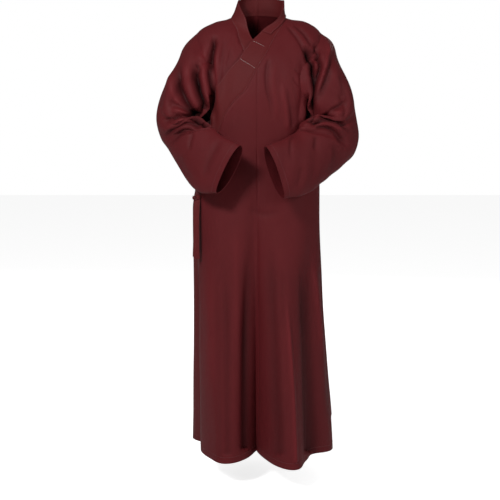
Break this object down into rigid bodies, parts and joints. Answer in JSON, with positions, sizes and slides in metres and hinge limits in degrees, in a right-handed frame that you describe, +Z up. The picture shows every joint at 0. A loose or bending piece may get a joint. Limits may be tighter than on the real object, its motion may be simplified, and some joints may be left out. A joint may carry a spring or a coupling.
{
  "type": "buddhist monk robe",
  "caption": "Long cross-over monk's robe in plain maroon cloth, worn and hollow, with wide sleeves, a standing collar band and a side tie.",
  "frame": {"origin": "midway between the two points where the neckline meets the wearer's shoulders, where the robe hangs from its wearer", "axes": "+Z up along the wearer's body; the robe's front faces -Y; +X is the wearer's left"},
  "size_m": [0.6334, 0.4866, 1.4553],
  "materials": {
    "cloth": "plain-woven maroon cloth with a soft sheen, matt in its folds",
    "collar_cloth": "the same maroon cloth, folded double and pressed flat"
  },
  "bodies": {
    "root": {"back_left": "cloth", "back_right": "cloth", "front_left": "cloth", "front_right": "cloth", "overlap": "cloth", "sleeve_left": "cloth", "sleeve_right": "cloth", "collar_left": "collar_cloth", "collar_right": "collar_cloth", "collar_guard": "collar_cloth", "tie_knot": "cloth", "tie_loop": "cloth", "tie_tail_front": "cloth", "tie_tail_back": "cloth"}
  },
  "joints": []
}
